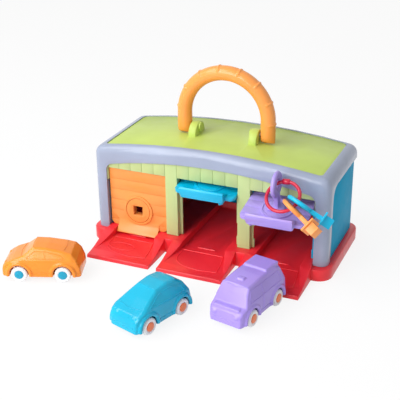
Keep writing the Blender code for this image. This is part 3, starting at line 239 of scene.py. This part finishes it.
def body_of(node):
    """Name of the moving body that a solid belongs to."""
    bodies = frame["record"]["behaviour"]["bodies"]
    return next(name for name, members in bodies.items() if node in members)


def softened(node, name, finish, edge, steps=2, sharp=28, smooth=40):
    """Copy of a solid with its moulded edges rounded, in place of the plain solid."""
    bpy.ops.object.select_all(action="DESELECT")
    made = bpy.data.objects.new(name, frame["nodes"][node].data.copy())
    bpy.context.scene.collection.objects.link(made)
    made.select_set(True)
    bpy.context.view_layer.objects.active = made
    bpy.ops.object.mode_set(mode="EDIT")
    bpy.ops.mesh.select_all(action="SELECT")
    bpy.ops.mesh.remove_doubles(threshold=0.00002)
    bpy.ops.mesh.dissolve_limited(angle_limit=radians(1.5))
    bpy.ops.object.mode_set(mode="OBJECT")
    bevel = made.modifiers.new("soft_edge", "BEVEL")
    bevel.width = edge
    bevel.segments = steps
    bevel.limit_method = "ANGLE"
    bevel.angle_limit = radians(sharp)
    bpy.ops.object.modifier_apply(modifier="soft_edge")
    bpy.ops.object.shade_smooth_by_angle(angle=radians(smooth))
    made.data.materials.clear()
    made.data.materials.append(finish)
    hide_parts(node)
    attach(made, body_of(node))
    return made


def rail(points, radius, rounds=3, closed=False):
    """Round bar along a row of points."""
    bpy.ops.object.select_all(action="DESELECT")
    path = bpy.data.curves.new("rail", "CURVE")
    path.dimensions = "3D"
    path.bevel_depth = radius
    path.bevel_resolution = rounds
    path.use_fill_caps = True
    spline = path.splines.new("POLY")
    spline.points.add(len(points) - 1)
    for stop, point in zip(spline.points, points):
        stop.co = (*point, 1)
    spline.use_cyclic_u = closed
    made = bpy.data.objects.new("rail", path)
    bpy.context.scene.collection.objects.link(made)
    made.select_set(True)
    bpy.context.view_layer.objects.active = made
    bpy.ops.object.convert(target="MESH")
    bpy.ops.object.mode_set(mode="EDIT")
    bpy.ops.mesh.select_all(action="SELECT")
    bpy.ops.mesh.remove_doubles(threshold=0.000001)
    bpy.ops.mesh.normals_make_consistent(inside=False)
    bpy.ops.object.mode_set(mode="OBJECT")
    bpy.ops.object.shade_smooth_by_angle(angle=radians(60))
    return bpy.context.object


TOP = (0, 0, 1)
LINE_STEP = 0.0015
LOOK_DISTANCE = 0.2


def laid(under, points, away, radius, closed=False, turn=Matrix.Identity(4)):
    """Thin raised line that follows a surface, found by looking along one direction."""
    tree = BVHTree.FromObject(under, bpy.context.evaluated_depsgraph_get())
    towards = turn.to_3x3() @ Vector(away)
    path = []
    ends = list(zip(points, points[1:]))
    if closed:
        ends.append((points[-1], points[0]))
    for first, second in ends:
        first, second = Vector(first), Vector(second)
        count = max(1, round((second - first).length / LINE_STEP))
        for k in range(count if closed else count + 1):
            stop = turn @ first.lerp(second, k / count)
            place = tree.ray_cast(stop + towards * LOOK_DISTANCE, -towards)[0]
            if place is None:
                continue
            if not path or (place - path[-1]).length > LINE_STEP / 5:
                path.append(place)
    return rail(path, radius, 2, closed)


def copied(model, place):
    """Copy of a form with a mesh of its own, moved to its place."""
    made = bpy.data.objects.new(model.name, model.data.copy())
    bpy.context.scene.collection.objects.link(made)
    made.data.transform(place)
    return made


def joined(main, extras):
    """Joins more forms to a piece, which keeps its own finish all over."""
    finish = main.data.materials[0]
    bpy.ops.object.select_all(action="DESELECT")
    for extra in extras:
        extra.select_set(True)
    main.select_set(True)
    bpy.context.view_layer.objects.active = main
    bpy.ops.object.join()
    main.data.materials.clear()
    main.data.materials.append(finish)
    return main


BAY_PITCH = 0.0933
TRAY_EDGE = 0.0008
BASIN_ROUND = 0.0006
BASIN = [(0.0265, -0.0746), (0.0295, -0.0900), (0.0305, -0.1060), (0.0080, -0.1082),
         (-0.0060, -0.1068), (-0.0170, -0.1035), (-0.0240, -0.0980), (-0.0265, -0.0910),
         (-0.0260, -0.0746)]
POOL_ROUND = 0.0005
POOL_MIDDLE = (-BAY_PITCH - 0.0080, -0.0915)
POOL_HALF = (0.0170, 0.0072)
LIP_ROUND = 0.0016
LIP_WIDTH = 0.0785
LIP_FRONT = -0.1186
LIP_LEVEL = 0.0034
TRAY_RED = plastic("tray_red", (0.86, 0.022, 0.035))
tray = softened("base_tray", "tray_moulding", TRAY_RED, TRAY_EDGE)
tray_lines = []
for bay in (-1, 0, 1):
    basin = [(bay * BAY_PITCH + x, y, 0) for x, y in BASIN]
    tray_lines.append(laid(tray, basin, TOP, BASIN_ROUND, closed=True))
pool = [(POOL_MIDDLE[0] + POOL_HALF[0] * cos(k * pi / 12),
         POOL_MIDDLE[1] + POOL_HALF[1] * sin(k * pi / 12), 0) for k in range(24)]
tray_lines.append(laid(tray, pool, TOP, POOL_ROUND, closed=True))
lip = rail([(side * LIP_WIDTH / 2, LIP_FRONT, LIP_LEVEL) for side in (-1, 1)], LIP_ROUND)
lips = [lip] + [copied(lip, Matrix.Translation((side * BAY_PITCH, 0, 0))) for side in (-1, 1)]
joined(tray, tray_lines + lips)

# Wall shell: the two side walls and the back wall, one deep teal moulding with round rear corners.
# It is matt plastic of even thickness, and the screws from below hold it to the tray.
WALL_EDGE = 0.0008
WALL_TEAL = plastic("wall_teal", (0.0, 0.36, 0.60), 0.42, shine=0.04)
softened("wall_shell", "wall_moulding", WALL_TEAL, WALL_EDGE)

# Front panel: pale green header over the bays with the two posts between them, in one moulding.
# The header has upright grooves like boards, and the posts carry the doors' stops and sockets.
FRONT_EDGE = 0.0006
FRONT_GREEN = plastic("front_green", (0.51, 0.63, 0.27))
softened("front_panel", "front_moulding", FRONT_GREEN, FRONT_EDGE)

# Roof: leaf green arched panel of satin plastic, moulded in one with the two lugs that carry the
# handle. A thin lap round its rim lies under the edge frame.
ROOF_EDGE = 0.0008
ROOF_GREEN = plastic("roof_green", (0.52, 0.66, 0.14), shine=0.3)
softened("roof_panel", "roof_moulding", ROOF_GREEN, ROOF_EDGE)

# Edge frame: thick lavender grey moulding round the front arch, the corner posts and the roof's
# rim. It is smoother than the panels, with full rounded edges that take the window's light.
FRAME_EDGE = 0.0018
FRAME_GREY = plastic("frame_grey", (0.33, 0.375, 0.50), 0.20, 0.3)
softened("edge_frame", "frame_moulding", FRAME_GREY, FRAME_EDGE, 4)

# Carry handle: orange half hoop with short ridges across its outer side. It is moulded solid, with
# round feet, and hangs on a pin through each lug, whose end a green cap hides.
HOOP_RADIUS = 0.054
HOOP_HEIGHT = 0.1596
HANDLE_PIVOT = 0.1425
GRIP_RADIUS = 0.0091
RIDGE_RADIUS = 0.0014
RIDGE_BEND = GRIP_RADIUS - 0.0003
RIDGE_PITCH = 25
RIDGE_ANGLES = [172.5 - RIDGE_PITCH * k for k in range(7)]
LEG_RIDGE = (-0.00006, 0, -0.00236)
MOULD_GRID = 0.0007
HOOP_PASSES = 4


def moulded(made, passes):
    """Runs all edges of a closed mesh into soft radii, as a mould gives them."""
    bpy.ops.object.select_all(action="DESELECT")
    made.select_set(True)
    bpy.context.view_layer.objects.active = made
    grid = made.modifiers.new("grid", "REMESH")
    grid.mode = "VOXEL"
    grid.voxel_size = MOULD_GRID
    bpy.ops.object.modifier_apply(modifier="grid")
    relax = made.modifiers.new("relax", "SMOOTH")
    relax.factor = 0.5
    relax.iterations = passes
    bpy.ops.object.modifier_apply(modifier="relax")
    bpy.ops.object.shade_smooth()
    return made


HANDLE_ORANGE = plastic("handle_orange", (0.95, 0.34, 0.07), 0.19, 0.07)
arch = [(HOOP_RADIUS * cos(radians(a)), 0, HOOP_HEIGHT + HOOP_RADIUS * sin(radians(a)))
        for a in range(0, 181, 3)]
foot = [HANDLE_PIVOT - GRIP_RADIUS * sin(radians(a)) for a in range(89, -1, -11)]
right_leg = [(HOOP_RADIUS, 0, z) for z in foot]
left_leg = [(-HOOP_RADIUS, 0, z) for z in reversed(foot)]
hoop = rail(right_leg + arch + left_leg, GRIP_RADIUS, 8)
hoop.name = "handle_hoop"
hoop.data.materials.append(HANDLE_ORANGE)
for corner in hoop.data.vertices:
    drop = (HANDLE_PIVOT - corner.co.z) / GRIP_RADIUS
    if drop > 0:
        corner.co.y *= sqrt(max(0.0, 1 - drop * drop))
ridge = rail([(HOOP_RADIUS + RIDGE_BEND * cos(radians(a)), RIDGE_BEND * sin(radians(a)), 0)
              for a in range(-66, 67, 11)], RIDGE_RADIUS)
hoop_middle = Matrix.Translation((0, 0, HOOP_HEIGHT))
ridges = [copied(ridge, hoop_middle @ Matrix.Rotation(-radians(a), 4, "Y")) for a in RIDGE_ANGLES]
ridge.data.transform(hoop_middle @ Matrix.Translation(LEG_RIDGE))
moulded(joined(hoop, ridges + [ridge]), HOOP_PASSES)
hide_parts("carry_handle")
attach(hoop, "handle")

# Screws, pins and caps: turned steel screws and headed pins, dulled by handling, and two green
# plastic caps that are pressed over the pins' ends on the inner side of the lugs.
SCREW_STEEL = plastic("screw_steel", (0.55, 0.55, 0.57), 0.34)
SCREW_STEEL.node_tree.nodes["Principled BSDF"].inputs["Metallic"].default_value = 1
for node in frame["nodes"]:
    if "screw" in node or "pin" in node:
        slots = frame["nodes"][node].data.materials
        slots.clear()
        slots.append(SCREW_STEEL)
CAP_RADIUS = 0.0058
CAP_EDGE = 0.0018
CAP_FACES = (0.0318, 0.0342)
cap = rail([(-x, 0, HANDLE_PIVOT) for x in CAP_FACES], CAP_RADIUS, 6)
cap.name = "lug_cap_left"
rounding = cap.modifiers.new("rounding", "BEVEL")
rounding.width = CAP_EDGE
rounding.segments = 4
rounding.limit_method = "ANGLE"
bpy.ops.object.modifier_apply(modifier="rounding")
cap.data.materials.append(ROOF_GREEN)
other_cap = copied(cap, Matrix.Rotation(pi, 4, "Z"))
other_cap.name = "lug_cap_right"
for made in (cap, other_cap):
    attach(made, "garage")

# Doors: three planked panels in orange, sky blue and lilac, each with its guide shoes, its round
# lock and the latch arm behind. Plain satin mouldings that snap together.
DOOR_EDGE = 0.0003
DISC_EDGE = 0.0005
ARM_EDGE = 0.0004
DOOR_FINISH = {"orange": plastic("door_orange", (0.90, 0.32, 0.07)),
               "teal": plastic("door_sky", (0.0, 0.50, 0.79)),
               "purple": plastic("door_lilac", (0.41, 0.31, 0.77))}
for colour, finish in DOOR_FINISH.items():
    softened(f"{colour}_door", f"{colour}_door_panel", finish, DOOR_EDGE)
    softened(f"{colour}_lock_barrel", f"{colour}_lock_disc", finish, DISC_EDGE)
    softened(f"{colour}_lock_bolt", f"{colour}_latch_arm", finish, ARM_EDGE)
    for side in ("left", "right"):
        softened(f"{colour}_shoe_{side}", f"{colour}_guide_shoe_{side}", finish, DOOR_EDGE)

# Keys and ring: three chunky plastic keys with a round bow, each in its door's plastic, and the
# glossy cherry red hoop they share, which a ferrule closes.
RING_EDGE = 0.0004
KEY_EDGE = 0.0006
RING_CHERRY = plastic("ring_cherry", (0.62, 0.012, 0.05), 0.19)
softened("key_ring", "ring_hoop", RING_CHERRY, RING_EDGE, sharp=50, smooth=60)
for colour, finish in DOOR_FINISH.items():
    softened(f"{colour}_key", f"{colour}_key_body", finish, KEY_EDGE)

# Toy cars: a hatchback, a compact and a van, each moulded in one glossy colour, with fenders,
# lamps and panel lines in relief. Each shell snaps over a floor plate that holds the axles.
# (x, y, heading in degrees)
CAR_PLACES = {"orange": (-0.1607, -0.1731, -159.8), "teal": (-0.0008, -0.2133, -107.7),
              "purple": (0.0906, -0.1590, -102)}
CAR_FINISH = {"orange": plastic("car_orange", (0.93, 0.28, 0.025), 0.16, 0.10, 0.4),
              "teal": plastic("car_sky", (0.0, 0.43, 0.65), 0.16, 0.10, 0.4),
              "purple": plastic("car_lilac", (0.40, 0.29, 0.80), 0.16, 0.10, 0.4)}
SHELL_EDGE = 0.0022
SHELL_PASSES = 5
FLOOR_EDGE = 0.0003
WHEELBASE = 0.0510
WHEEL_RADIUS = 0.0098


def car_turn(colour):
    """Turns and moves a form from the car's own axes to where that car stands."""
    x, y, heading = CAR_PLACES[colour]
    return Matrix.Translation((x, y, 0)) @ Matrix.Rotation(radians(heading), 4, "Z")


# a half hoop over each wheel arch
FENDER_RADIUS = 0.0136
FENDER_ROUND = 0.0023
FENDER_OUT = 0.0214
fender = rail([(FENDER_RADIUS * cos(radians(a)), 0, WHEEL_RADIUS + FENDER_RADIUS * sin(radians(a)))
               for a in range(-10, 191, 10)], FENDER_ROUND)
FENDER_PLACES = [Matrix.Translation((end * WHEELBASE / 2, side * FENDER_OUT, 0))
                 for end in (-1, 1) for side in (-1, 1)]

# flattened balls for the headlamps, and where each car has its left one
LAMP_SIZE = (0.0022, 0.0042, 0.0030)
CAR_LAMPS = {"orange": (0.0418, 0.0125, 0.0205), "teal": (0.0395, 0.0120, 0.0215),
             "purple": (0.0462, 0.0140, 0.0180)}
bpy.ops.object.select_all(action="DESELECT")
bpy.ops.mesh.primitive_ico_sphere_add(subdivisions=3, radius=1)
bulge = bpy.context.object
bpy.ops.object.mode_set(mode="EDIT")
bpy.ops.transform.resize(value=LAMP_SIZE)
bpy.ops.object.mode_set(mode="OBJECT")


def pad(place, size):
    """Soft-edged block for a raised patch, by its middle and half size."""
    bpy.ops.object.select_all(action="DESELECT")
    bpy.ops.mesh.primitive_cube_add(size=2)
    made = bpy.context.object
    bpy.ops.object.mode_set(mode="EDIT")
    bpy.ops.transform.resize(value=size)
    bpy.ops.transform.translate(value=place)
    bpy.ops.mesh.bevel(offset=min(size) * 0.6, segments=3, affect="EDGES")
    bpy.ops.object.mode_set(mode="OBJECT")
    return made


# the van's raised rear roof, its roof vent and its bonnet
VAN_PATCHES = [((-0.0240, 0, 0.0462), (0.0130, 0.0150, 0.0028)),
               ((0.0150, 0, 0.0462), (0.0030, 0.0042, 0.0016)),
               ((0.0400, 0, 0.0235), (0.0050, 0.0165, 0.0028))]

# panel and window lines: the side they are seen from and their points
FRONT, SIDE = (1, 0, 0), (0, 1, 0)
LINE_ROUND = 0.00045
SILL = (SIDE, [(-0.0120, 0, 0.0115), (0.0120, 0, 0.0115)])
CAR_LINES = {
    "orange": [
        (TOP, [(0.0225, -0.0165, 0), (0.0250, 0, 0), (0.0225, 0.0165, 0)]),
        (TOP, [(0.0085, -0.0125, 0), (0.0098, 0, 0), (0.0085, 0.0125, 0)]),
        (TOP, [(-0.0270, -0.0120, 0), (-0.0285, 0, 0), (-0.0270, 0.0120, 0)]),
        (SIDE, [(0.0165, 0, 0.0300), (0.0065, 0, 0.0375), (-0.0060, 0, 0.0372),
                (-0.0230, 0, 0.0335), (-0.0290, 0, 0.0295), (0.0165, 0, 0.0300)]),
        (SIDE, [(-0.0040, 0, 0.0372), (-0.0060, 0, 0.0300)]),
        SILL],
    "teal": [
        (TOP, [(0.0310, -0.0150, 0), (0.0335, 0, 0), (0.0310, 0.0150, 0)]),
        (TOP, [(0.0060, -0.0120, 0), (0.0072, 0, 0), (0.0060, 0.0120, 0)]),
        (TOP, [(-0.0250, -0.0110, 0), (-0.0262, 0, 0), (-0.0250, 0.0110, 0)]),
        (SIDE, [(0.0230, 0, 0.0290), (0.0040, 0, 0.0375), (-0.0130, 0, 0.0390),
                (-0.0270, 0, 0.0360), (-0.0300, 0, 0.0290), (0.0230, 0, 0.0290)]),
        SILL,
        (FRONT, [(0, -0.0150, 0.0130), (0, 0, 0.0120), (0, 0.0150, 0.0130)])],
    "purple": [
        (TOP, [(0.0262, -0.0150, 0), (0.0275, 0, 0), (0.0262, 0.0150, 0)]),
        (SIDE, [(0.0310, 0, 0.0290), (0.0245, 0, 0.0410), (-0.0300, 0, 0.0410),
                (-0.0340, 0, 0.0290), (0.0310, 0, 0.0290)]),
        (SIDE, [(0.0040, 0, 0.0410), (0.0040, 0, 0.0120)]),
        SILL,
        (FRONT, [(0, -0.0150, 0.0120), (0, 0.0150, 0.0120)])]}
for colour, finish in CAR_FINISH.items():
    place = car_turn(colour)
    shell = softened(f"{colour}_car_body", f"{colour}_car_shell", finish, SHELL_EDGE, 3, 20, 50)
    raised = [copied(fender, place @ spot) for spot in FENDER_PLACES]
    x, y, z = CAR_LAMPS[colour]
    raised += [copied(bulge, place @ Matrix.Translation((x, side * y, z))) for side in (-1, 1)]
    if colour == "purple":
        patches = [pad(middle, half) for middle, half in VAN_PATCHES]
        for patch in patches:
            patch.data.transform(place)
        raised += patches
    moulded(joined(shell, raised), SHELL_PASSES)
    lines = []
    for away, points in CAR_LINES[colour]:
        for side in ((1, -1) if away is SIDE else (1,)):
            seen_from = tuple(side * part for part in away)
            lines.append(laid(shell, points, seen_from, LINE_ROUND, turn=place))
    joined(shell, lines)
    softened(f"{colour}_car_underbody", f"{colour}_car_floor", finish, FLOOR_EDGE)
for model in (fender, bulge):
    bpy.data.objects.remove(model)

# Wheels: white moulded tyres with a pressed-in hub button, blue on the hatchback and orange on the
# other two. Each pair sits on one axle and turns in the saddles of the floor plate.
TYRE_EDGE = 0.0008
HALF_CAR = 0.0220
HUB_RADIUS = 0.0050
HUB_CROWN = 0.0009
HUB_SEAT = 0.0004
WHEEL_WHITE = plastic("wheel_white", (0.86, 0.86, 0.88), 0.34, 0.3)
HUB_BLUE = plastic("hub_blue", (0.0, 0.33, 0.52), 0.34, 0.3)
HUB_ORANGE = plastic("hub_orange", (0.88, 0.21, 0.08), 0.34, 0.3)
bpy.ops.object.select_all(action="DESELECT")
bpy.ops.mesh.primitive_cylinder_add(vertices=40, radius=HUB_RADIUS, depth=HUB_CROWN * 2)
button = bpy.context.object
bpy.ops.object.mode_set(mode="EDIT")
bpy.ops.mesh.select_all(action="DESELECT")
bpy.ops.object.mode_set(mode="OBJECT")
for face in button.data.polygons:
    face.select = face.normal.z > 0.9
bpy.ops.object.mode_set(mode="EDIT")
bpy.ops.mesh.inset(thickness=HUB_RADIUS * 0.3, depth=HUB_CROWN * 0.5)
bpy.ops.mesh.inset(thickness=HUB_RADIUS * 0.3, depth=HUB_CROWN * 0.2)
bpy.ops.object.mode_set(mode="OBJECT")
bpy.ops.object.shade_smooth_by_angle(angle=radians(35))
for colour in CAR_PLACES:
    for end, where in (("front", 1), ("rear", -1)):
        axle = f"{colour}_car_{end}"
        softened(f"{axle}_wheels", f"{axle}_tyres", WHEEL_WHITE, TYRE_EDGE, 3)
        buttons = []
        for side in (-1, 1):
            seat = (where * WHEELBASE / 2, side * (HALF_CAR + HUB_SEAT), WHEEL_RADIUS)
            turned = Matrix.Translation(seat) @ Matrix.Rotation(-side * pi / 2, 4, "X")
            buttons.append(copied(button, car_turn(colour) @ turned))
        hubs = buttons[0]
        hubs.name = f"{axle}_hubs"
        hubs.data.materials.append(HUB_BLUE if colour == "orange" else HUB_ORANGE)
        joined(hubs, buttons[1:])
        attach(hubs, f"{axle}_wheels")
bpy.data.objects.remove(button)
